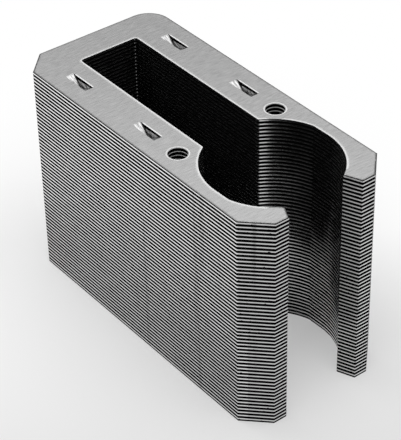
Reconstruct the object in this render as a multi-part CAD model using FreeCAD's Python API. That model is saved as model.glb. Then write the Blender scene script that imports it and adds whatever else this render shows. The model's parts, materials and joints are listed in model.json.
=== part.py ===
import FreeCAD, Part
import math
import os
from FreeCAD import Vector

# Stator core of a small single-phase synchronous motor: a stack of punched U-shaped
# laminations, held together by the lances of each sheet pressed into the sheet below.
# Millimetres. X runs along the limbs towards the open end, Y across them, Z up the stack.
# The origin is in the middle of the outline, on the underside of the bottom sheet.

# Stack
LAMINATIONS = 56
SHEET = 0.5

# Outline of one lamination
LENGTH = 43.6
WIDTH = 19.7
YOKE = 4.4
WINDOW_WIDTH = 8.0
WINDOW_CORNER_RADIUS = 0.3
CORNER_CHAMFER = 2.9
LOCATING_CORNER_RADIUS = 3.0
JUNCTION_RADIUS = 0.3

# Rotor bore: two plain pole arcs, and two set back so that the rotor parks off centre. A
# straight line that leaves the plain arc without a corner leads to the set-back one.
BORE_CENTRE_FROM_OPEN_END = 8.9
BORE_RADIUS = 8.0
BORE_STEP = 0.3
STEP_BEGINS_DEG = 91.5

# Flared mouth between the pole tips
TIP_GAP = 8.5
MOUTH_WIDTH = 10.3

# Screw holes, one in the middle of each limb, behind the bore's axis
HOLE_RADIUS = 1.15
HOLE_BEHIND_BORE = 7.75

# Interlocks, two on each limb: one is placed from the closed end, the other from the hole
LANCE_FROM_BACK = 8.15
LANCE_BEHIND_HOLE = 5.65
LANCE_LENGTH = 4.0
LANCE_WIDTH = 1.1
LANCE_DEPTH = 0.92
LANCE_NOSE_FROM_BACK = 2.0
LANCE_NOSE = 0.3

# Cut edge of a punched sheet: rolled corner, burnished land, then a torn face that leans in
ROLL = 0.06
TORN_HEIGHT = 0.22
TORN_DEPTH = 0.03

# Places that follow from the sizes above
BACK = -LENGTH / 2
OPEN_END = LENGTH / 2
SIDE = WIDTH / 2
WINDOW_SIDE = WINDOW_WIDTH / 2
WINDOW_BACK = BACK + YOKE
LIMB_MIDDLE = (SIDE + WINDOW_SIDE) / 2
BORE_X = OPEN_END - BORE_CENTRE_FROM_OPEN_END
STEPPED_RADIUS = BORE_RADIUS + BORE_STEP
STEP_ENDS_DEG = STEP_BEGINS_DEG + math.degrees(math.acos(BORE_RADIUS / STEPPED_RADIUS))
HOLE_X = BORE_X - HOLE_BEHIND_BORE
LANCES_X = (BACK + LANCE_FROM_BACK, HOLE_X - LANCE_BEHIND_HOLE)
LIMBS_Y = (LIMB_MIDDLE, -LIMB_MIDDLE)

# The lowest sheets have open slots, so that no tongue stands out under the stack
PIERCED_SHEETS = math.ceil(LANCE_DEPTH / SHEET)


def on_circle(x, y, radius, degrees):
    """Point on a circle round (x, y), at an angle from +X."""
    turn = math.radians(degrees)
    return Vector(x + radius * math.cos(turn), y + radius * math.sin(turn), 0)


def on_bore(radius, degrees):
    """Point on a circle round the bore's axis."""
    return on_circle(BORE_X, 0, radius, degrees)


def arc(x, y, radius, start, end):
    """Arc round (x, y) from one angle to another."""
    middle = on_circle(x, y, radius, (start + end) / 2)
    return Part.Arc(
        on_circle(x, y, radius, start), middle, on_circle(x, y, radius, end)
    ).toShape()


def line(start, end):
    return Part.LineSegment(start, end).toShape()


def run(*points):
    """Straight edges through the points."""
    return [line(start, end) for start, end in zip(points, points[1:])]


def angle_at_height(radius, height):
    """Angle from +X at which a circle round the bore's axis reaches this Y."""
    return math.degrees(math.asin(height / radius))


def outline():
    """Closed outline of one lamination, anticlockwise from the closed end's chamfer."""
    stepped_tip = angle_at_height(STEPPED_RADIUS, TIP_GAP / 2)
    plain_tip = angle_at_height(BORE_RADIUS, TIP_GAP / 2)
    plain_turn = angle_at_height(BORE_RADIUS + JUNCTION_RADIUS, WINDOW_SIDE + JUNCTION_RADIUS)
    stepped_turn = angle_at_height(
        STEPPED_RADIUS + JUNCTION_RADIUS, WINDOW_SIDE + JUNCTION_RADIUS
    )
    near_junction = on_bore(BORE_RADIUS + JUNCTION_RADIUS, plain_turn - 180)
    far_junction = on_bore(STEPPED_RADIUS + JUNCTION_RADIUS, 180 - stepped_turn)
    corner = WINDOW_CORNER_RADIUS
    corner_x = WINDOW_BACK + corner
    corner_y = WINDOW_SIDE - corner
    near_limb_outside = run(
        Vector(BACK + CORNER_CHAMFER, -SIDE, 0),
        Vector(OPEN_END - CORNER_CHAMFER, -SIDE, 0),
        Vector(OPEN_END, -SIDE + CORNER_CHAMFER, 0),
        Vector(OPEN_END, -MOUTH_WIDTH / 2, 0),
        on_bore(STEPPED_RADIUS, -stepped_tip),
    )
    near_pole = [
        arc(BORE_X, 0, STEPPED_RADIUS, -stepped_tip, STEP_ENDS_DEG - 180),
        line(
            on_bore(STEPPED_RADIUS, STEP_ENDS_DEG - 180),
            on_bore(BORE_RADIUS, STEP_BEGINS_DEG - 180),
        ),
        arc(BORE_X, 0, BORE_RADIUS, STEP_BEGINS_DEG - 180, plain_turn - 180),
        arc(near_junction.x, near_junction.y, JUNCTION_RADIUS, plain_turn, 90),
    ]
    window = [
        line(Vector(near_junction.x, -WINDOW_SIDE, 0), Vector(corner_x, -WINDOW_SIDE, 0)),
        arc(corner_x, -corner_y, corner, -90, -180),
        line(Vector(WINDOW_BACK, -corner_y, 0), Vector(WINDOW_BACK, corner_y, 0)),
        arc(corner_x, corner_y, corner, 180, 90),
        line(Vector(corner_x, WINDOW_SIDE, 0), Vector(far_junction.x, WINDOW_SIDE, 0)),
    ]
    far_pole = [
        arc(far_junction.x, far_junction.y, JUNCTION_RADIUS, -90, -stepped_turn),
        arc(BORE_X, 0, STEPPED_RADIUS, 180 - stepped_turn, STEP_ENDS_DEG),
        line(on_bore(STEPPED_RADIUS, STEP_ENDS_DEG), on_bore(BORE_RADIUS, STEP_BEGINS_DEG)),
        arc(BORE_X, 0, BORE_RADIUS, STEP_BEGINS_DEG, plain_tip),
    ]
    far_limb_outside = run(
        on_bore(BORE_RADIUS, plain_tip),
        Vector(OPEN_END, MOUTH_WIDTH / 2, 0),
        Vector(OPEN_END, SIDE - CORNER_CHAMFER, 0),
        Vector(OPEN_END - CORNER_CHAMFER, SIDE, 0),
        Vector(BACK + LOCATING_CORNER_RADIUS, SIDE, 0),
    )
    locating_corner = arc(
        BACK + LOCATING_CORNER_RADIUS,
        SIDE - LOCATING_CORNER_RADIUS,
        LOCATING_CORNER_RADIUS,
        90,
        180,
    )
    closed_end = run(
        Vector(BACK, SIDE - LOCATING_CORNER_RADIUS, 0),
        Vector(BACK, -SIDE + CORNER_CHAMFER, 0),
        Vector(BACK + CORNER_CHAMFER, -SIDE, 0),
    )
    edges = near_limb_outside + near_pole + window + far_pole + far_limb_outside
    return Part.Wire(edges + [locating_corner] + closed_end)


def edges_at(solid, height):
    """Edges that lie flat at this height."""
    flat = []
    for edge in solid.Edges:
        box = edge.BoundBox
        if math.isclose(box.ZMin, height, abs_tol=1e-6) and box.ZLength < 1e-6:
            flat.append(edge)
    return flat


def blank():
    """Punched sheet with its rolled upper edge and its torn lower one."""
    sheet = Part.Face(outline()).extrude(Vector(0, 0, SHEET))
    sheet = sheet.makeChamfer(TORN_HEIGHT, TORN_DEPTH, edges_at(sheet, 0))
    return sheet.makeChamfer(ROLL, edges_at(sheet, SHEET))


def hole_cutter():
    """Turned shape of a pierced hole, which widens at its rolled and torn ends."""
    section = Part.makePolygon(
        [
            Vector(0, 0, 0),
            Vector(HOLE_RADIUS + TORN_DEPTH, 0, 0),
            Vector(HOLE_RADIUS, 0, TORN_HEIGHT),
            Vector(HOLE_RADIUS, 0, SHEET - ROLL),
            Vector(HOLE_RADIUS + ROLL, 0, SHEET),
            Vector(0, 0, SHEET),
            Vector(0, 0, 0),
        ]
    )
    return Part.Face(section).revolve(Vector(0, 0, 0), Vector(0, 0, 1), 360)


def lance_slot():
    """Room of one lance, through the sheet."""
    return Part.makeBox(
        LANCE_LENGTH,
        LANCE_WIDTH,
        SHEET,
        Vector(-LANCE_LENGTH / 2, -LANCE_WIDTH / 2, 0),
    )


def lance_tongue():
    """Strip pressed down out of the sheet in a V with a blunt nose."""
    half = LANCE_LENGTH / 2
    nose = LANCE_NOSE_FROM_BACK - half
    dips = [(-half, 0), (nose, LANCE_DEPTH), (nose + LANCE_NOSE, LANCE_DEPTH), (half, 0)]
    side = -LANCE_WIDTH / 2
    top = [Vector(x, side, SHEET - depth) for x, depth in dips]
    bottom = [Vector(x, side, -depth) for x, depth in reversed(dips)]
    section = Part.makePolygon(top + bottom + [top[0]])
    return Part.Face(section).extrude(Vector(0, LANCE_WIDTH, 0))


def placed(shape, x, y):
    copy = shape.copy()
    copy.translate(Vector(x, y, 0))
    return copy


def pierced_sheet():
    """Blank with its screw holes and open lance slots."""
    cutters = [placed(hole_cutter(), HOLE_X, y) for y in LIMBS_Y]
    cutters += [placed(lance_slot(), x, y) for x in LANCES_X for y in LIMBS_Y]
    return blank().cut(cutters)


def lanced_sheet():
    """Pierced sheet with its tongues, which lie in the slots and tongues of those below."""
    tongues = [placed(lance_tongue(), x, y) for x in LANCES_X for y in LIMBS_Y]
    return pierced_sheet().fuse(tongues).removeSplitter()


def export(shape, name, height):
    """Write one solid, raised to its place in the stack."""
    solid = shape.Solids[0].copy()
    solid.translate(Vector(0, 0, height))
    solid.exportStep(os.path.join("parts", name + ".step"))


def main():
    os.makedirs("parts", exist_ok=True)
    pierced = pierced_sheet()
    lanced = lanced_sheet()
    for number in range(1, LAMINATIONS + 1):
        sheet = pierced if number <= PIERCED_SHEETS else lanced
        export(sheet, f"lamination_{number:02d}", (number - 1) * SHEET)


main()
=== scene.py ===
import json
import logging
import math
from dataclasses import dataclass, field
from enum import IntEnum

import bmesh
import bpy
from mathutils import Matrix, Vector


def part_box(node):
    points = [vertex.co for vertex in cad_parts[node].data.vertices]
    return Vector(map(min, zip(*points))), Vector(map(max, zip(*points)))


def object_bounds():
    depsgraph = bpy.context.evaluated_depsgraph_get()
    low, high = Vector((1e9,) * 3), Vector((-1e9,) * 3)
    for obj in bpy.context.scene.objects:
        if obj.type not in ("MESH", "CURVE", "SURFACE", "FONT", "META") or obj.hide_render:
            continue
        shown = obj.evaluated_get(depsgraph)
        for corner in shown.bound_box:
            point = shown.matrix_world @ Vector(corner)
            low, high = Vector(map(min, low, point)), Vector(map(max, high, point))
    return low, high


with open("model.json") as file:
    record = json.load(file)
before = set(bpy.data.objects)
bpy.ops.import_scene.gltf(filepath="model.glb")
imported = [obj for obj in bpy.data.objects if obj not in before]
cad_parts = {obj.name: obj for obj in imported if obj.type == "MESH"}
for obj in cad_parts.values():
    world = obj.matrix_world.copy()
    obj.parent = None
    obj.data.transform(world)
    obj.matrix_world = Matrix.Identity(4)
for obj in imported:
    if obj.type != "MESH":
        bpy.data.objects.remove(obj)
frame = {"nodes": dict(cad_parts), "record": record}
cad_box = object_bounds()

MM = 0.001
LOG = logging.getLogger("lamination_stack")

# The sRGB curve is straight up to its knee, and a power of the value above that
SRGB_KNEE, SRGB_SLOPE = 0.04045, 12.92
SRGB_OFFSET, SRGB_POWER = 0.055, 2.4

# Most of a noise texture's values lie between these, and this is how rough most of them are
NOISE_LOW, NOISE_HIGH = 0.3, 0.7
NOISE_ROUGHNESS = 0.6

Colour = tuple[float, float, float, float]
Span = tuple[float, float]
Tones = tuple[tuple[float, str], ...]
Socket = bpy.types.NodeSocket

WHITE = (1.0, 1.0, 1.0, 1.0)


class Mix(IntEnum):
    """Inputs of the mix node, which only their numbers tell apart."""

    FACTOR = 0
    LOW = 2
    HIGH = 3
    LOW_VECTOR = 4
    HIGH_VECTOR = 5
    LOW_COLOUR = 6
    HIGH_COLOUR = 7


class Mixed(IntEnum):
    """Outputs of the mix node."""

    VALUE = 0
    VECTOR = 1
    COLOUR = 2


def linear(hex_colour: str) -> Colour:
    """Turns an sRGB colour into the linear one that shaders take.

    Args:
        hex_colour: Colour such as "#c8c8c8".

    Returns:
        Linear red, green and blue, with alpha 1.
    """
    channels = []
    for start in (1, 3, 5):
        value = int(hex_colour[start:start + 2], 16) / 255
        if value <= SRGB_KNEE:
            channels.append(value / SRGB_SLOPE)
        else:
            channels.append(((value + SRGB_OFFSET) / (1 + SRGB_OFFSET)) ** SRGB_POWER)
    return (channels[0], channels[1], channels[2], 1.0)


def set_tones(ramp: bpy.types.ColorRamp, tones: Tones) -> None:
    """Gives a colour ramp its stops.

    Args:
        ramp: Ramp of a new node.
        tones: Position and sRGB colour of each stop, in order.
    """
    while len(ramp.elements) < len(tones):
        ramp.elements.new(1.0)
    for element, (position, colour) in zip(ramp.elements, tones):
        element.position = position
        element.color = linear(colour)


def add_node(
    owner: bpy.types.Material | bpy.types.World,
    kind: str,
    settings: dict | None = None,
    links: dict | None = None,
) -> bpy.types.Node:
    """Adds one shader node.

    Args:
        owner: Material or world whose node tree gets the node.
        kind: Blender's class name of the node.
        settings: Properties by name, input defaults by input name or number, and the tones
            of a colour ramp.
        links: Output sockets by the name or number of the input that they feed.

    Returns:
        The new node.
    """
    tree = owner.node_tree
    node = tree.nodes.new(kind)
    for name, value in (settings or {}).items():
        if name == "tones":
            set_tones(node.color_ramp, value)
        elif isinstance(name, str) and hasattr(node, name):
            setattr(node, name, value)
        else:
            node.inputs[name].default_value = value
    for name, socket in (links or {}).items():
        tree.links.new(socket, node.inputs[name])
    return node


@dataclass(frozen=True)
class Core:
    """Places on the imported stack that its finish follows, in metres."""

    sheet: float
    top: float
    back: float
    front: float
    side: float
    hole_x: float
    limb_y: float
    hole_radius: float
    bore_x: float
    bore_radius: float
    # The record names no lances, so these repeat the part's own sizes
    lance_from_back: float = 8.15 * MM
    lance_behind_hole: float = 5.65 * MM
    lance_length: float = 4.0 * MM
    lance_width: float = 1.1 * MM

    @classmethod
    def from_frame(cls) -> "Core":
        """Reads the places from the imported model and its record.

        Returns:
            The places.
        """
        low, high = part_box("lamination_01")
        whole_low, whole_high = cad_box
        mounts = {mount["name"]: mount for mount in frame["record"]["mounts"]}
        holes, bore = mounts["screw_holes"], mounts["rotor_bore"]
        return cls(
            sheet=high.z - low.z,
            top=whole_high[2],
            back=whole_low[0],
            front=whole_high[0],
            side=whole_high[1],
            hole_x=holes["pos_m"][0],
            limb_y=holes["dims"]["spacing_y_mm"] * MM / 2,
            hole_radius=holes["dims"]["hole_r_mm"] * MM,
            bore_x=bore["pos_m"][0],
            bore_radius=bore["dims"]["r_mm"] * MM,
        )

    def lance_starts(self) -> Span:
        """Returns the X at which the two lances of a limb begin, the rear one first."""
        half = self.lance_length / 2
        return (self.back + self.lance_from_back - half, self.hole_x - self.lance_behind_hole - half)


@dataclass(frozen=True)
class Finish:
    """Sockets that describe one kind of surface to the shader."""

    colour: Socket
    roughness: Socket
    metallic: Socket


@dataclass(frozen=True)
class Shading:
    """Material under work, with sockets that say where the shaded point lies.

    beside is its distance from the middle plane of the stack.
    """

    material: bpy.types.Material
    core: Core
    where: Socket
    x: Socket
    y: Socket
    z: Socket
    beside: Socket

    @classmethod
    def begin(cls, name: str, core: Core) -> "Shading":
        """Creates a material that holds only the nodes for the place of the shaded point.

        Args:
            name: Name of the material.
            core: Places on the stack.

        Returns:
            The material under work.
        """
        material = bpy.data.materials.new(name)
        material.use_nodes = True
        material.node_tree.nodes.clear()
        where = add_node(material, "ShaderNodeTexCoord").outputs["Object"]
        x, y, z = add_node(material, "ShaderNodeSeparateXYZ", links={0: where}).outputs
        beside = add_node(material, "ShaderNodeMath", {"operation": "ABSOLUTE"}, {0: y}).outputs[0]
        return cls(material, core, where, x, y, z, beside)

    def add(
        self,
        kind: str,
        settings: dict | None = None,
        links: dict | None = None,
        output: int | str = 0,
    ) -> Socket:
        """Adds a node to the material.

        Args:
            kind: Blender's class name of the node.
            settings: Settings as add_node takes them.
            links: Links as add_node takes them.
            output: Name or number of the output that is wanted.

        Returns:
            That output's socket.
        """
        return add_node(self.material, kind, settings, links).outputs[output]

    def between(self, value: Socket, low: float, high: float) -> Socket:
        """Adds a mask that is 1 where a value lies between two limits."""
        return self.add(
            "ShaderNodeMath",
            {"operation": "COMPARE", 1: (low + high) / 2, 2: (high - low) / 2},
            {0: value},
        )

    def near_hole(self, margin: float) -> Socket:
        """Adds a mask of the screw holes.

        Args:
            margin: How far beyond the hole's wall the mask reaches, in metres.

        Returns:
            Socket that is 1 in and round the holes.
        """
        along, across = (
            self.add("ShaderNodeMath", {"operation": "SUBTRACT", 1: centre}, {0: place})
            for place, centre in ((self.x, self.core.hole_x), (self.beside, self.core.limb_y))
        )
        offset = self.add("ShaderNodeCombineXYZ", links={"X": along, "Y": across})
        distance = self.add("ShaderNodeVectorMath", {"operation": "LENGTH"}, {0: offset}, "Value")
        return self.add(
            "ShaderNodeMath",
            {"operation": "LESS_THAN", 1: self.core.hole_radius + margin},
            {0: distance},
        )

    def along_lance(self) -> Socket:
        """Adds how far along the nearest lance the shaded point is.

        Returns:
            Socket that is 0 where the lance begins and 1 where it ends.
        """
        rear, front = self.core.lance_starts()
        length = self.core.lance_length
        at_front = self.add(
            "ShaderNodeMath", {"operation": "GREATER_THAN", 1: (rear + length + front) / 2}, {0: self.x}
        )
        start = self.add("ShaderNodeMix", {Mix.LOW: rear, Mix.HIGH: front}, {Mix.FACTOR: at_front})
        run = self.add("ShaderNodeMath", {"operation": "SUBTRACT"}, {0: self.x, 1: start})
        return self.add("ShaderNodeMath", {"operation": "DIVIDE", 1: length}, {0: run})

    def laid_over(self, factor: Socket, below: Finish, above: Finish) -> Finish:
        """Lays one finish over another.

        Args:
            factor: 0 where the lower finish shows, 1 where the upper one does.
            below: Lower finish.
            above: Upper finish.

        Returns:
            The mixed finish.
        """
        colour = self.add(
            "ShaderNodeMix",
            {"data_type": "RGBA"},
            {Mix.FACTOR: factor, Mix.LOW_COLOUR: below.colour, Mix.HIGH_COLOUR: above.colour},
            Mixed.COLOUR,
        )
        roughness, metallic = (
            self.add("ShaderNodeMix", links={Mix.FACTOR: factor, Mix.LOW: low, Mix.HIGH: high})
            for low, high in (
                (below.roughness, above.roughness),
                (below.metallic, above.metallic),
            )
        )
        return Finish(colour, roughness, metallic)


@dataclass(frozen=True)
class RolledFace:
    """Face of a cold-rolled sheet, satin grey with fine straight grain across the limbs.

    The grain is drawn 0.16 mm wide, because the real one is too fine to show. A bright
    highlight is painted on the rim round the openings and along one side of each lance, and a
    thin dark shade is painted on the corner at the outline. A turn is two cosines of the angle by
    which the Bevel node tilts the face near a corner, and the rim fades in between them.
    """

    tones: Tones = ((NOISE_LOW, "#c2c2c2"), (NOISE_HIGH, "#dadada"))
    grain_pitch: float = 0.16 * MM
    grain_stretch: float = 9.0
    grain_detail: float = 4.0
    roughness: float = 0.24
    roughness_spread: float = 0.03
    rim_width: float = 0.6 * MM
    rim_samples: int = 8
    # The rim's white colour is a painted highlight, which fades in over the turn
    rim_turn: Span = (0.9995, 0.975)
    rim_highlight_colour: str = "#ffffff"
    rim_roughness: float = 0.45
    rim_reach: float = 1.0 * MM
    # The openings' rims end this far before the ends, where the chamfers begin
    chamfer_reach: float = 2.7 * MM
    lance_clearance: float = 1.5 * MM
    hole_margin: float = 0.2 * MM
    # The outline's dark corner colour is painted shade
    outline_turn: Span = (0.97, 0.88)
    outline_shade_colour: str = "#303030"
    outline_end_reach: float = 2.0 * MM
    # Along the lance, from its rear end at 0 to its front end at 1
    lip_part: Span = (0.09, 0.97)
    lip_width: float = 0.18 * MM

    def finish(self, shading: Shading, normal: Socket) -> Finish:
        """Adds the face.

        Args:
            shading: Material under work.
            normal: The shaded point's normal.

        Returns:
            The face's finish.
        """
        grain = self.grain(shading)
        colour = shading.add("ShaderNodeValToRGB", {"tones": self.tones}, {0: grain})
        roughness = shading.add(
            "ShaderNodeMapRange",
            {
                "From Min": NOISE_LOW,
                "From Max": NOISE_HIGH,
                "To Min": self.roughness - self.roughness_spread,
                "To Max": self.roughness + self.roughness_spread,
            },
            {0: grain},
        )
        rounded = shading.add(
            "ShaderNodeBevel", {"samples": self.rim_samples, "Radius": self.rim_width}
        )
        flat = shading.add(
            "ShaderNodeVectorMath", {"operation": "DOT_PRODUCT"}, {0: rounded, 1: normal}, "Value"
        )
        opening_highlight, outline = (
            shading.add(
                "ShaderNodeMath",
                {"operation": "MULTIPLY"},
                {
                    0: shading.add(
                        "ShaderNodeMapRange", {"From Min": turn[0], "From Max": turn[1]}, {0: flat}
                    ),
                    1: mask,
                },
            )
            for turn, mask in (
                (self.rim_turn, self.openings(shading)),
                (self.outline_turn, self.outside(shading)),
            )
        )
        rim = shading.add(
            "ShaderNodeMath", {"operation": "MAXIMUM"}, {0: opening_highlight, 1: self.lip(shading)}
        )
        # Paints the highlight on the rim and the shade on the outline's corner
        for mask, corner_colour in ((rim, self.rim_highlight_colour), (outline, self.outline_shade_colour)):
            colour = shading.add(
                "ShaderNodeMix",
                {"data_type": "RGBA", Mix.HIGH_COLOUR: linear(corner_colour)},
                {Mix.FACTOR: mask, Mix.LOW_COLOUR: colour},
                Mixed.COLOUR,
            )
        softened = shading.add(
            "ShaderNodeMix", {Mix.HIGH: self.rim_roughness}, {Mix.FACTOR: rim, Mix.LOW: roughness}
        )
        metallic = shading.add("ShaderNodeValue")
        metallic.default_value = 1.0
        return Finish(colour, softened, metallic)

    def grain(self, shading: Shading) -> Socket:
        """Adds noise drawn out across the limbs.

        Args:
            shading: Material under work.

        Returns:
            The noise.
        """
        along = shading.add(
            "ShaderNodeMapping",
            {"Scale": (1.0, 1.0 / self.grain_stretch, 1.0)},
            {"Vector": shading.where},
        )
        return shading.add(
            "ShaderNodeTexNoise",
            {"Scale": 1.0 / self.grain_pitch, "Detail": self.grain_detail, "Roughness": NOISE_ROUGHNESS},
            {"Vector": along},
        )

    def openings(self, shading: Shading) -> Socket:
        """Adds a mask of the face round the window and bore, and close round the holes.

        It leaves out the lances.

        Args:
            shading: Material under work.

        Returns:
            Socket that is 1 there.
        """
        core = shading.core
        past_lances = shading.add(
            "ShaderNodeMath",
            {"operation": "GREATER_THAN", 1: core.hole_x - core.hole_radius - self.lance_clearance},
            {0: shading.x},
        )
        limit = shading.add(
            "ShaderNodeMix",
            {Mix.LOW: core.limb_y - self.rim_reach, Mix.HIGH: core.side - self.rim_reach},
            {Mix.FACTOR: past_lances},
        )
        within = shading.add("ShaderNodeMath", {"operation": "LESS_THAN"}, {0: shading.beside, 1: limit})
        end = core.front - self.chamfer_reach
        inner = shading.add(
            "ShaderNodeMath",
            {"operation": "MULTIPLY"},
            {0: within, 1: shading.between(shading.x, -end, end)},
        )
        past_hole_rim = shading.add(
            "ShaderNodeMath",
            {"operation": "SUBTRACT"},
            {0: shading.near_hole(self.rim_reach), 1: shading.near_hole(self.hole_margin)},
        )
        return shading.add(
            "ShaderNodeMath", {"operation": "SUBTRACT", "use_clamp": True}, {0: inner, 1: past_hole_rim}
        )

    def outside(self, shading: Shading) -> Socket:
        """Adds a mask of the face along the stack's sides and ends.

        Args:
            shading: Material under work.

        Returns:
            Socket that is 1 there.
        """
        core = shading.core
        by_side = shading.add(
            "ShaderNodeMath",
            {"operation": "GREATER_THAN", 1: core.side - self.rim_reach},
            {0: shading.beside},
        )
        end = core.front - self.outline_end_reach
        by_end = shading.add(
            "ShaderNodeMath",
            {"operation": "SUBTRACT", 0: 1.0},
            {1: shading.between(shading.x, -end, end)},
        )
        return shading.add("ShaderNodeMath", {"operation": "MAXIMUM"}, {0: by_side, 1: by_end})

    def lip(self, shading: Shading) -> Socket:
        """Adds a mask of the highlight painted along one side of each lance.

        Args:
            shading: Material under work.

        Returns:
            Socket that is 1 on the lip.
        """
        core = shading.core
        limb = shading.add("ShaderNodeMath", {"operation": "SIGN"}, {0: shading.y})
        middle = shading.add("ShaderNodeMath", {"operation": "MULTIPLY", 1: core.limb_y}, {0: limb})
        aside = shading.add("ShaderNodeMath", {"operation": "SUBTRACT"}, {0: shading.y, 1: middle})
        slot_side = core.lance_width / 2
        return shading.add(
            "ShaderNodeMath",
            {"operation": "MULTIPLY"},
            {
                0: shading.between(aside, slot_side, slot_side + self.lip_width),
                1: shading.between(shading.along_lance(), *self.lip_part),
            },
        )


@dataclass(frozen=True)
class CutEdge:
    """Edge of a punched sheet, with bands that repeat at each sheet.

    From its top down each sheet has a dull rolled corner, a land that the punch burnishes like
    a mirror, and a dull torn zone. The rolled corner's near-black is painted shade, and the torn
    zone's near-black is painted shade on a surface that is dull of itself. Light and shade are
    painted on the land by place: light on the long sides and low in the bore, varying along the
    bore, and shade inside the window. The land is dull in the holes and at the flared mouth, and
    the holes' rolled corners carry a painted highlight. Tops, heights, the boundary and the tear
    are parts of the sheet's thickness.
    """

    torn_top: float = 0.51
    land_top: float = 0.87
    boundary_width: float = 0.04
    wave_pitch: float = 2.2 * MM
    wave_detail: float = 2.0
    wave_height: float = 0.03
    # From the noise of one sheet to that of the next, in waves
    waves_apart: float = 20.0
    nick_pitch: float = 0.45 * MM
    nick_detail: float = 1.0
    # Values of the noise between which a nick deepens
    nick_span: Span = (0.66, 0.80)
    nick_height: float = 0.20
    hole_tear: float = 0.27
    hole_margin: float = 0.2 * MM
    side_margin: float = 0.1 * MM
    # The torn zone's near-black is painted shade on a dull surface, and the rolled corner's is painted
    # shade
    torn_shade_colour: str = "#060606"
    roll_shade_colour: str = "#141414"
    # The holes' light grey rolled corner is a painted highlight
    hole_roll_highlight_colour: str = "#c8c8c8"
    hole_land_colour: str = "#787878"
    # The sides' white is painted light, and the window's grey is painted shade
    side_light_colour: str = "#ffffff"
    window_shade_colour: str = "#a4a4a4"
    window_back_margin: float = 1.0 * MM
    window_reach: float = 2.5 * MM
    # Painted light and shade along the limb, with the screw holes at 0 and the open end at 1
    bore_light_and_shade_tones: Tones = (
        (0.04, "#e4e4e4"),
        (0.08, "#d4d4d4"),
        (0.16, "#9c9c9c"),
        (0.24, "#747474"),
        (0.31, "#5c5c5c"),
        (0.34, "#989898"),
        (0.5, "#989898"),
        (0.75, "#ffffff"),
        (0.84, "#e4e4e4"),
    )
    # Parts of the stack's height between which the painted light on the bore grows to that of the sides
    bore_rise: Span = (0.58, 0.30)
    bore_margin: float = 1.2 * MM
    burnish_pitch: float = 0.5 * MM
    burnish_detail: float = 3.0
    burnish_tones: Tones = ((NOISE_LOW, "#f4f4f4"), (NOISE_HIGH, "#fefefe"))
    wear_pitch: float = 1.6 * MM
    wear_detail: float = 3.0
    # The punch leaves its wear on sheet after sheet, so the streaks run up the whole stack
    wear_squash: float = 0.03
    wear_tones: Tones = ((0.28, "#dcdcdc"), (0.38, "#ffffff"))
    land_roughness: float = 0.15
    torn_roughness: float = 0.7
    # The flared mouth begins this far past the bore's axis
    flare_past_bore: float = 6.6 * MM
    flare_end_margin: float = 0.05 * MM
    flare_reach: float = 3.0 * MM
    flare_dullness: float = 0.6

    def finish(self, shading: Shading) -> Finish:
        """Adds the edge.

        Args:
            shading: Material under work.

        Returns:
            The edge's finish.
        """
        layer = shading.add(
            "ShaderNodeMath", {"operation": "DIVIDE", 1: shading.core.sheet}, {0: shading.z}
        )
        height = shading.add("ShaderNodeMath", {"operation": "FRACT"}, {0: layer})
        around = self.around(shading, layer)
        wave, nick, burnish = (
            shading.add(
                "ShaderNodeTexNoise",
                {"Scale": 1.0 / pitch, "Detail": detail, "Roughness": NOISE_ROUGHNESS},
                {"Vector": around},
            )
            for pitch, detail in (
                (self.wave_pitch, self.wave_detail),
                (self.nick_pitch, self.nick_detail),
                (self.burnish_pitch, self.burnish_detail),
            )
        )
        on_side = shading.add(
            "ShaderNodeMath",
            {"operation": "GREATER_THAN", 1: shading.core.side - self.side_margin},
            {0: shading.beside},
        )
        in_hole = shading.near_hole(self.hole_margin)
        wavy = self.with_waves(shading, height, wave)
        nicked = self.with_nicks(shading, wavy, nick, on_side)
        drop = shading.add("ShaderNodeMath", {"operation": "MULTIPLY", 1: self.hole_tear}, {0: in_hole})
        edge = shading.add("ShaderNodeMath", {"operation": "SUBTRACT"}, {0: nicked, 1: drop})
        over_torn = shading.add(
            "ShaderNodeMapRange",
            {"From Min": self.torn_top, "From Max": self.torn_top + self.boundary_width},
            {0: edge},
        )
        over_land = shading.add(
            "ShaderNodeMapRange",
            {"From Min": self.land_top - self.boundary_width, "From Max": self.land_top},
            {0: height},
        )
        land = shading.add(
            "ShaderNodeMix",
            {"data_type": "RGBA", Mix.HIGH_COLOUR: linear(self.hole_land_colour)},
            {Mix.FACTOR: in_hole, Mix.LOW_COLOUR: self.land(shading, burnish, on_side)},
            Mixed.COLOUR,
        )
        roll = shading.add(
            "ShaderNodeMix",
            {
                "data_type": "RGBA",
                Mix.LOW_COLOUR: linear(self.roll_shade_colour),
                Mix.HIGH_COLOUR: linear(self.hole_roll_highlight_colour),
            },
            {Mix.FACTOR: in_hole},
            Mixed.COLOUR,
        )
        below_roll = shading.add(
            "ShaderNodeMix",
            {"data_type": "RGBA", Mix.LOW_COLOUR: linear(self.torn_shade_colour)},
            {Mix.FACTOR: over_torn, Mix.HIGH_COLOUR: land},
            Mixed.COLOUR,
        )
        colour = shading.add(
            "ShaderNodeMix",
            {"data_type": "RGBA"},
            {Mix.FACTOR: over_land, Mix.LOW_COLOUR: below_roll, Mix.HIGH_COLOUR: roll},
            Mixed.COLOUR,
        )
        roughness = shading.add(
            "ShaderNodeMix",
            {Mix.LOW: self.torn_roughness, Mix.HIGH: self.land_roughness},
            {Mix.FACTOR: over_torn},
        )
        metallic = over_torn
        for taken in (over_land, self.dull_parts(shading, in_hole)):
            metallic = shading.add(
                "ShaderNodeMath", {"operation": "SUBTRACT", "use_clamp": True}, {0: metallic, 1: taken}
            )
        return Finish(colour, roughness, metallic)

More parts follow.
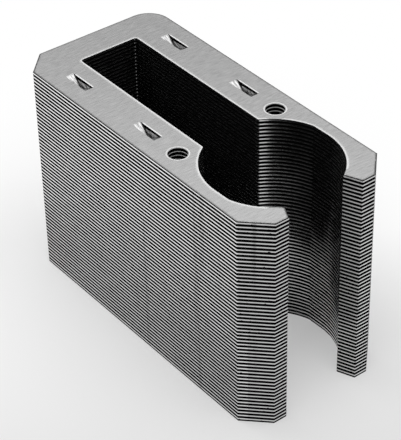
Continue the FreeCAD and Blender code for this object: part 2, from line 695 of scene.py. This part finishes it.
    def around(self, shading: Shading, layer: Socket) -> Socket:
        """Adds coordinates that run round the outline and lie far apart from sheet to sheet.

        Args:
            shading: Material under work.
            layer: Height in sheets.

        Returns:
            The coordinates.
        """
        number = shading.add("ShaderNodeMath", {"operation": "FLOOR"}, {0: layer})
        apart = shading.add(
            "ShaderNodeMath",
            {"operation": "MULTIPLY", 1: self.waves_apart * self.wave_pitch},
            {0: number},
        )
        return shading.add("ShaderNodeCombineXYZ", links={"X": shading.x, "Y": shading.y, "Z": apart})

    def with_waves(self, shading: Shading, height: Socket, wave: Socket) -> Socket:
        """Shifts heights within the sheet up and down, so that the torn zone's top waves.

        Args:
            shading: Material under work.
            height: Height within the sheet.
            wave: Noise of the waves.

        Returns:
            The shifted height.
        """
        shift = shading.add(
            "ShaderNodeMapRange",
            {
                "From Min": NOISE_LOW,
                "From Max": NOISE_HIGH,
                "To Min": self.wave_height,
                "To Max": -self.wave_height,
            },
            {0: wave},
        )
        return shading.add("ShaderNodeMath", {"operation": "ADD"}, {0: height, 1: shift})

    def with_nicks(self, shading: Shading, height: Socket, nick: Socket, on_side: Socket) -> Socket:
        """Lowers heights here and there, so that the torn zone's top has nicks.

        Args:
            shading: Material under work.
            height: Height within the sheet.
            nick: Noise of the nicks.
            on_side: 1 on the long sides, which have no nicks.

        Returns:
            The lowered height.
        """
        fall = shading.add(
            "ShaderNodeMapRange",
            {
                "From Min": self.nick_span[0],
                "From Max": self.nick_span[1],
                "To Min": 0.0,
                "To Max": -self.nick_height,
            },
            {0: nick},
        )
        off_side = shading.add("ShaderNodeMath", {"operation": "SUBTRACT", 0: 1.0}, {1: on_side})
        kept = shading.add("ShaderNodeMath", {"operation": "MULTIPLY"}, {0: fall, 1: off_side})
        return shading.add("ShaderNodeMath", {"operation": "ADD"}, {0: height, 1: kept})

    def land(self, shading: Shading, burnish: Socket, on_side: Socket) -> Socket:
        """Adds the colour of the burnished land, with light and shade painted on it by place, and
        streaked where the punch is worn.

        Args:
            shading: Material under work.
            burnish: Noise of the burnishing.
            on_side: 1 on the long sides.

        Returns:
            The land's colour.
        """
        through = shading.add(
            "ShaderNodeMapping", {"Scale": (1.0, 1.0, self.wear_squash)}, {"Vector": shading.where}
        )
        wear = shading.add(
            "ShaderNodeTexNoise",
            {"Scale": 1.0 / self.wear_pitch, "Detail": self.wear_detail},
            {"Vector": through},
        )
        worn = shading.add("ShaderNodeValToRGB", {"tones": self.wear_tones}, {0: wear})
        colour = shading.add("ShaderNodeValToRGB", {"tones": self.burnish_tones}, {0: burnish})
        for tone in (self.light_and_shade_tone(shading, on_side), worn):
            colour = shading.add(
                "ShaderNodeMix",
                {"data_type": "RGBA", "blend_type": "MULTIPLY", Mix.FACTOR: 1.0},
                {Mix.LOW_COLOUR: colour, Mix.HIGH_COLOUR: tone},
                Mixed.COLOUR,
            )
        return colour

    def light_and_shade_tone(self, shading: Shading, on_side: Socket) -> Socket:
        """Adds the light and shade painted on the land on each part of the outline.

        Args:
            shading: Material under work.
            on_side: 1 on the long sides.

        Returns:
            Tone that multiplies the land's colour.
        """
        core = shading.core
        along = shading.add(
            "ShaderNodeMapRange", {"From Min": core.hole_x, "From Max": core.front}, {0: shading.x}
        )
        tone = shading.add("ShaderNodeValToRGB", {"tones": self.bore_light_and_shade_tones}, {0: along})
        low_down = shading.add(
            "ShaderNodeMapRange",
            {"From Min": self.bore_rise[0] * core.top, "From Max": self.bore_rise[1] * core.top},
            {0: shading.z},
        )
        reach = core.bore_radius - self.bore_margin
        in_bore = shading.between(shading.x, core.bore_x - reach, core.bore_x + reach)
        low_in_bore = shading.add(
            "ShaderNodeMath", {"operation": "MULTIPLY"}, {0: low_down, 1: in_bore}
        )
        by_window = shading.add(
            "ShaderNodeMath",
            {"operation": "LESS_THAN", 1: core.limb_y - self.window_reach},
            {0: shading.beside},
        )
        behind_bore = shading.between(shading.x, core.back + self.window_back_margin, core.hole_x)
        in_window = shading.add(
            "ShaderNodeMath", {"operation": "MULTIPLY"}, {0: by_window, 1: behind_bore}
        )
        # Paints light on the long sides and low in the bore, and shade inside the window
        for mask, colour in (
            (low_in_bore, self.side_light_colour),
            (on_side, self.side_light_colour),
            (in_window, self.window_shade_colour),
        ):
            tone = shading.add(
                "ShaderNodeMix",
                {"data_type": "RGBA", Mix.HIGH_COLOUR: linear(colour)},
                {Mix.FACTOR: mask, Mix.LOW_COLOUR: tone},
                Mixed.COLOUR,
            )
        return tone

    def dull_parts(self, shading: Shading, in_hole: Socket) -> Socket:
        """Adds how much of the land's mirror is lost in the holes and at the flared mouth.

        Args:
            shading: Material under work.
            in_hole: 1 in the screw holes.

        Returns:
            Socket that is 0 where the land is a mirror and 1 where none of that is left.
        """
        core = shading.core
        past_bore = shading.between(
            shading.x, core.bore_x + self.flare_past_bore, core.front - self.flare_end_margin
        )
        inward = shading.add(
            "ShaderNodeMath",
            {"operation": "LESS_THAN", 1: core.side - self.flare_reach},
            {0: shading.beside},
        )
        on_flare = shading.add("ShaderNodeMath", {"operation": "MULTIPLY"}, {0: past_bore, 1: inward})
        return shading.add(
            "ShaderNodeMath",
            {"operation": "MULTIPLY_ADD", 1: self.flare_dullness},
            {0: on_flare, 2: in_hole},
        )


@dataclass(frozen=True)
class PressedLance:
    """Strip that the punch tears on both sides and presses down.

    Light and shade are painted along its ramps: bright near the rear, dark at the nose and
    lighter again at the front. Its walls have painted shade just under the face and are scuffed
    lower down, and the painted shade reaches deeper at the rear.
    """

    spare: float = 0.01 * MM
    sunk_from: float = 0.004 * MM
    # Slope of the ramps, in radians
    drag_tilt: float = 0.43
    drag_stretch: float = 5.0
    scuff_pitch: float = 0.22 * MM
    scuff_detail: float = 3.0
    scuff_roughness: float = 0.7
    scuff_tones: Tones = ((0.40, "#747474"), (0.58, "#ffffff"))
    scuff_share: float = 0.75
    # Along the lance, from its rear end at 0 to its front end at 1
    # The ramp's tones are painted light and shade
    ramp_light_and_shade_tones: Tones = (
        (0.0, "#d0d0d0"),
        (0.06, "#fcfcfc"),
        (0.2, "#ececec"),
        (0.36, "#cccccc"),
        (0.5, "#7c7c7c"),
        (0.62, "#a8a8a8"),
        (0.9, "#c4c4c4"),
        (1.0, "#d8d8d8"),
    )
    ramp_roughness: float = 0.3
    # Down the wall, in millimetres under the face, shifted by wall_shift along wall_part. The black band
    # under the face is painted shade.
    wall_shade_tones: Tones = ((0.0, "#080808"), (0.24, "#060606"), (0.32, "#e4e4e4"), (0.9, "#c8c8c8"))
    wall_roughness: float = 0.5
    wall_part: Span = (0.25, 0.9)
    wall_shift: Span = (-0.16, -0.02)

    def inside(self, shading: Shading, part: Socket, depth: Socket) -> Socket:
        """Adds a mask of the lances.

        Args:
            shading: Material under work.
            part: How far along the lance the point is.
            depth: How far under the top of the stack the point is, in metres.

        Returns:
            Socket that is 1 inside a lance of the top sheet.
        """
        core = shading.core
        beyond = self.spare / core.lance_length
        half_width = core.lance_width / 2 + self.spare
        in_slot = shading.add(
            "ShaderNodeMath",
            {"operation": "MULTIPLY"},
            {
                0: shading.between(part, -beyond, 1.0 + beyond),
                1: shading.between(shading.beside, core.limb_y - half_width, core.limb_y + half_width),
            },
        )
        sunk = shading.add("ShaderNodeMath", {"operation": "GREATER_THAN", 1: self.sunk_from}, {0: depth})
        return shading.add("ShaderNodeMath", {"operation": "MULTIPLY"}, {0: in_slot, 1: sunk})

    def scuffs(self, shading: Shading) -> Socket:
        """Adds scuffs drawn out down the ramp.

        Args:
            shading: Material under work.

        Returns:
            Tone of the scuffs.
        """
        drag = shading.add(
            "ShaderNodeMapping",
            {
                "vector_type": "TEXTURE",
                "Rotation": (0.0, self.drag_tilt, 0.0),
                "Scale": (self.drag_stretch, 1.0, 1.0),
            },
            {"Vector": shading.where},
        )
        scuff = shading.add(
            "ShaderNodeTexNoise",
            {
                "Scale": 1.0 / self.scuff_pitch,
                "Detail": self.scuff_detail,
                "Roughness": self.scuff_roughness,
            },
            {"Vector": drag},
        )
        return shading.add("ShaderNodeValToRGB", {"tones": self.scuff_tones}, {0: scuff})

    def finish(self, shading: Shading, is_face: Socket) -> tuple[Socket, Finish]:
        """Adds the lances.

        Args:
            shading: Material under work.
            is_face: 1 on ramps and 0 on walls.

        Returns:
            Socket that is 1 inside a lance, and the finish there.
        """
        part = shading.along_lance()
        depth = shading.add(
            "ShaderNodeMath", {"operation": "SUBTRACT", 0: shading.core.top}, {1: shading.z}
        )
        fall = shading.add("ShaderNodeMath", {"operation": "DIVIDE", 1: MM}, {0: depth})
        shift = shading.add(
            "ShaderNodeMapRange",
            {
                "From Min": self.wall_part[0],
                "From Max": self.wall_part[1],
                "To Min": self.wall_shift[0],
                "To Max": self.wall_shift[1],
            },
            {0: part},
        )
        down_wall = shading.add("ShaderNodeMath", {"operation": "ADD"}, {0: fall, 1: shift})
        scuffed = self.scuffs(shading)
        wall, ramp = (
            shading.add(
                "ShaderNodeMix",
                {"data_type": "RGBA", "blend_type": "MULTIPLY", Mix.FACTOR: share},
                {
                    Mix.LOW_COLOUR: shading.add("ShaderNodeValToRGB", {"tones": tones}, {0: place}),
                    Mix.HIGH_COLOUR: scuffed,
                },
                Mixed.COLOUR,
            )
            for tones, place, share in (
                (self.wall_shade_tones, down_wall, 1.0),
                (self.ramp_light_and_shade_tones, part, self.scuff_share),
            )
        )
        colour = shading.add(
            "ShaderNodeMix",
            {"data_type": "RGBA"},
            {Mix.FACTOR: is_face, Mix.LOW_COLOUR: wall, Mix.HIGH_COLOUR: ramp},
            Mixed.COLOUR,
        )
        roughness = shading.add(
            "ShaderNodeMix",
            {Mix.LOW: self.wall_roughness, Mix.HIGH: self.ramp_roughness},
            {Mix.FACTOR: is_face},
        )
        return self.inside(shading, part, depth), Finish(colour, roughness, is_face)


@dataclass(frozen=True)
class PunchedSteel:
    """Cold-rolled silicon steel sheet, punched.

    Its scratches run across the limbs on the faces, and up and down on the cut edges, so it
    spreads light at right angles to them.
    """

    core: Core
    name: str = "punched_electrical_steel"
    face: RolledFace = field(default_factory=RolledFace)
    edge: CutEdge = field(default_factory=CutEdge)
    lance: PressedLance = field(default_factory=PressedLance)
    # Size of the normal's Z over which a surface is a face or ramp, and under which it is cut
    face_from: float = 0.85
    anisotropic: float = 0.75

    def material(self) -> bpy.types.Material:
        """Builds the material.

        Returns:
            The new material.
        """
        shading = Shading.begin(self.name, self.core)
        normal = shading.add("ShaderNodeNewGeometry", output="Normal")
        slope = shading.add("ShaderNodeSeparateXYZ", links={0: normal}, output="Z")
        upright = shading.add("ShaderNodeMath", {"operation": "ABSOLUTE"}, {0: slope})
        is_face = shading.add(
            "ShaderNodeMath", {"operation": "GREATER_THAN", 1: self.face_from}, {0: upright}
        )
        outside = shading.laid_over(
            is_face, self.edge.finish(shading), self.face.finish(shading, normal)
        )
        in_lance, lance = self.lance.finish(shading, is_face)
        surface = shading.laid_over(in_lance, outside, lance)
        across = shading.add(
            "ShaderNodeVectorMath", {"operation": "CROSS_PRODUCT", 1: (0.0, 0.0, 1.0)}, {0: normal}
        )
        spread = shading.add(
            "ShaderNodeMix",
            {"data_type": "VECTOR", Mix.HIGH_VECTOR: (1.0, 0.0, 0.0)},
            {Mix.FACTOR: is_face, Mix.LOW_VECTOR: across},
            Mixed.VECTOR,
        )
        # Torn zones and rolled corners lie in grooves, so they have no gloss beside the metal's. The
        # rolled corners' near-black is painted shade, and the torn zones' near-black is painted shade on
        # a surface that is dull of itself.
        shader = shading.add(
            "ShaderNodeBsdfPrincipled",
            {"Anisotropic": self.anisotropic, "Specular IOR Level": 0.0},
            {
                "Base Color": surface.colour,
                "Roughness": surface.roughness,
                "Metallic": surface.metallic,
                "Tangent": spread,
            },
        )
        add_node(shading.material, "ShaderNodeOutputMaterial", links={0: shader})
        return shading.material


@dataclass(frozen=True)
class WhitePaper:
    """Matt white paper, which keeps the stack's shadow and shows as plain white far from it.

    The share of plain light, by distance over white_from, is its shares curve. Under the
    window the paper stays dark in the steel's reflections.
    """

    core: Core
    name: str = "white_paper"
    colour: str = "#ececec"
    roughness: float = 0.5
    white_from: float = 40 * MM
    shares: tuple[Span, ...] = ((0.0, 0.32), (0.22, 0.50), (0.6, 0.90), (1.0, 1.0))
    bright_from: float = 18 * MM
    near_shade: float = 0.68
    dim_way: tuple[float, float, float] = (1.0, -0.5, 0.0)
    dim_run: Span = (-10 * MM, 40 * MM)
    dim_light: float = 0.72
    undimmed_run: Span = (80 * MM, 200 * MM)
    mouth_run: Span = (-5 * MM, 7 * MM)

    def material(self) -> bpy.types.Material:
        """Builds the material.

        Returns:
            The new material.
        """
        shading = Shading.begin(self.name, self.core)
        path = add_node(shading.material, "ShaderNodeLightPath").outputs
        distance = self.distance(shading)
        matt = shading.add(
            "ShaderNodeBsdfDiffuse", {"Color": linear(self.colour), "Roughness": self.roughness}
        )
        shade = shading.add(
            "ShaderNodeMapRange",
            {
                "interpolation_type": "SMOOTHSTEP",
                "From Min": 0.0,
                "From Max": self.bright_from,
                "To Min": self.near_shade,
                "To Max": 1.0,
            },
            {0: distance},
        )
        dimmed = shading.add(
            "ShaderNodeMix", {Mix.LOW: 1.0}, {Mix.FACTOR: path["Is Glossy Ray"], Mix.HIGH: shade}
        )
        strength = shading.add(
            "ShaderNodeMath", {"operation": "MULTIPLY"}, {0: self.light(shading, distance), 1: dimmed}
        )
        plain = shading.add("ShaderNodeEmission", {"Color": WHITE}, {"Strength": strength})
        seen, reflected = (
            shading.add("ShaderNodeMath", {"operation": "MULTIPLY"}, {0: share, 1: path[ray]})
            for share, ray in (
                (self.plain_share(shading, distance), "Is Camera Ray"),
                (self.clear(shading), "Is Glossy Ray"),
            )
        )
        factor = shading.add("ShaderNodeMath", {"operation": "ADD"}, {0: seen, 1: reflected})
        shader = shading.add("ShaderNodeMixShader", links={0: factor, 1: matt, 2: plain})
        add_node(shading.material, "ShaderNodeOutputMaterial", links={0: shader})
        return shading.material

    def distance(self, shading: Shading) -> Socket:
        """Adds the distance from the box that runs from the closed end to the bore's axis.

        Args:
            shading: Material under work.

        Returns:
            The distance in metres, 0 within the box.
        """
        core = self.core
        middle = (core.bore_x + core.back) / 2
        vector = shading.where
        for operation, value in (
            ("SUBTRACT", (middle, 0.0, 0.0)),
            ("ABSOLUTE", None),
            ("SUBTRACT", (core.bore_x - middle, core.side, core.top)),
            ("MAXIMUM", (0.0, 0.0, 0.0)),
        ):
            settings = {"operation": operation} if value is None else {"operation": operation, 1: value}
            vector = shading.add("ShaderNodeVectorMath", settings, {0: vector})
        return shading.add("ShaderNodeVectorMath", {"operation": "LENGTH"}, {0: vector}, "Value")

    def light(self, shading: Shading, distance: Socket) -> Socket:
        """Adds the strength of plain light, which dims towards one corner near the stack.

        Args:
            shading: Material under work.
            distance: Distance from the stack.

        Returns:
            The strength, 1 where it is white.
        """
        forward = shading.add(
            "ShaderNodeVectorMath",
            {"operation": "DOT_PRODUCT", 1: self.dim_way},
            {0: shading.where},
            "Value",
        )
        near, far = (
            shading.add(
                "ShaderNodeMapRange",
                {"From Min": run[0], "From Max": run[1], "To Min": start, "To Max": end},
                {0: place},
            )
            for run, start, end, place in (
                (self.dim_run, 1.0, self.dim_light, forward),
                (self.undimmed_run, self.dim_light, 1.0, distance),
            )
        )
        return shading.add("ShaderNodeMath", {"operation": "MAXIMUM"}, {0: near, 1: far})

    def plain_share(self, shading: Shading, distance: Socket) -> Socket:
        """Adds the share of plain light that the camera sees.

        Args:
            shading: Material under work.
            distance: Distance from the stack.

        Returns:
            The share, from the paper's own look at 0 to plain light at 1.
        """
        far = shading.add(
            "ShaderNodeMath", {"operation": "DIVIDE", 1: self.white_from}, {0: distance}
        )
        share = add_node(shading.material, "ShaderNodeFloatCurve", links={"Value": far})
        points = share.mapping.curves[0].points
        first, *middle, last = self.shares
        points[0].location = first
        points[1].location = last
        for point in middle:
            points.new(*point)
        share.mapping.update()
        return share.outputs[0]

    def clear(self, shading: Shading) -> Socket:
        """Adds a mask of the paper that the steel's reflections show as plain light.

        Args:
            shading: Material under work.

        Returns:
            Socket that is 0 under the window and 1 beside, behind and before the stack.
        """
        core = self.core
        at_side = shading.add(
            "ShaderNodeMath", {"operation": "GREATER_THAN", 1: core.side}, {0: shading.beside}
        )
        behind = shading.add("ShaderNodeMath", {"operation": "LESS_THAN", 1: core.back}, {0: shading.x})
        mouth = shading.add(
            "ShaderNodeMapRange",
            {
                "interpolation_type": "SMOOTHSTEP",
                "From Min": core.bore_x + self.mouth_run[0],
                "From Max": core.bore_x + self.mouth_run[1],
            },
            {0: shading.x},
        )
        around = shading.add("ShaderNodeMath", {"operation": "MAXIMUM"}, {0: at_side, 1: behind})
        return shading.add("ShaderNodeMath", {"operation": "MAXIMUM"}, {0: around, 1: mouth})


@dataclass
class LaminationStack:
    """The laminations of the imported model, each with the finish of punched steel."""

    core: Core

    def dress(self) -> None:
        """Gives every lamination its finish."""
        material = PunchedSteel(self.core).material()
        for name, node in frame["nodes"].items():
            for slot in node.material_slots:
                slot.material = material
            LOG.info("dressed %s in %s", name, material.name)


@dataclass(frozen=True)
class Viewpoint:
    """Camera that looks at a point from a distance, in degrees round and above it."""

    target: tuple[float, float, float] = (0.45 * MM, -0.47 * MM, 13.14 * MM)
    distance: float = 212.54 * MM
    azimuth: float = -37.23
    elevation: float = 36.78
    roll: float = -1.33
    lens: float = 148.13
    sensor: float = 36.0
    clip_start: float = 10 * MM

    def build(self) -> None:
        """Creates the camera and makes it the scene's."""
        data = bpy.data.cameras.new("camera")
        data.lens = self.lens
        data.sensor_width = self.sensor
        data.clip_start = self.clip_start
        camera = bpy.data.objects.new("camera", data)
        bpy.context.scene.collection.objects.link(camera)
        round_, above = math.radians(self.azimuth), math.radians(self.elevation)
        out = Vector(
            (math.cos(above) * math.cos(round_), math.cos(above) * math.sin(round_), math.sin(above))
        )
        turn = (-out).to_track_quat("-Z", "Y").to_matrix().to_4x4()
        place = Matrix.Translation(Vector(self.target) + out * self.distance)
        camera.matrix_world = place @ turn @ Matrix.Rotation(math.radians(self.roll), 4, "Z")
        bpy.context.scene.camera = camera


@dataclass
class Studio:
    """Pale floor and soft light round the stack.

    Sizes and places are in metres, and the sky's heights are sines of the elevation.
    """

    core: Core
    floor_size: float = 1.2
    floor_gap: float = 0.02 * MM
    key_place: tuple[float, float, float] = (-0.45, -0.12, 0.42)
    key_size: float = 0.40
    key_watts: float = 1.2
    sky_heights: Span = (0.45, 0.71)
    sky_strengths: Span = (0.25, 1.25)
    viewpoint: Viewpoint = field(default_factory=Viewpoint)

    def build_floor(self) -> None:
        """Lays the floor just under the stack."""
        shape = bmesh.new()
        bmesh.ops.create_grid(shape, x_segments=1, y_segments=1, size=self.floor_size)
        mesh = bpy.data.meshes.new("floor")
        shape.to_mesh(mesh)
        shape.free()
        floor = bpy.data.objects.new("floor", mesh)
        floor.location.z = -self.floor_gap
        bpy.context.scene.collection.objects.link(floor)
        mesh.materials.append(WhitePaper(self.core).material())

    def build_key(self) -> None:
        """Hangs the square soft lamp that faces the stack."""
        data = bpy.data.lights.new("key", "AREA")
        data.size = self.key_size
        data.energy = self.key_watts
        lamp = bpy.data.objects.new("key", data)
        bpy.context.scene.collection.objects.link(lamp)
        place = Vector(self.key_place)
        turn = (-place).to_track_quat("-Z", "Y").to_matrix().to_4x4()
        lamp.matrix_world = Matrix.Translation(place) @ turn

    def build_world(self) -> None:
        """Sets the light from all round, bright overhead and dim low down, and seen as white."""
        world = bpy.data.worlds.new("studio")
        world.use_nodes = True
        world.node_tree.nodes.clear()
        direction = add_node(world, "ShaderNodeTexCoord").outputs["Generated"]
        height = add_node(world, "ShaderNodeSeparateXYZ", links={0: direction}).outputs["Z"]
        strength = add_node(
            world,
            "ShaderNodeMapRange",
            {
                "interpolation_type": "SMOOTHSTEP",
                "From Min": self.sky_heights[0],
                "From Max": self.sky_heights[1],
                "To Min": self.sky_strengths[0],
                "To Max": self.sky_strengths[1],
            },
            {0: height},
        ).outputs[0]
        path = add_node(world, "ShaderNodeLightPath").outputs
        seen = add_node(
            world,
            "ShaderNodeMix",
            {Mix.HIGH: 1.0},
            {Mix.FACTOR: path["Is Camera Ray"], Mix.LOW: strength},
        ).outputs[Mixed.VALUE]
        sky = add_node(world, "ShaderNodeBackground", {"Color": WHITE}, {"Strength": seen})
        add_node(world, "ShaderNodeOutputWorld", links={0: sky.outputs[0]})
        bpy.context.scene.world = world

    def build(self) -> None:
        """Builds the floor, the lamp, the world and the camera."""
        self.build_floor()
        self.build_key()
        self.build_world()
        self.viewpoint.build()
        bpy.context.scene.view_settings.view_transform = "Standard"


def main() -> None:
    """Dresses the stack and builds the studio."""
    logging.basicConfig(level=logging.INFO)
    core = Core.from_frame()
    LaminationStack(core).dress()
    Studio(core).build()


if __name__ == "__main__":
    main()
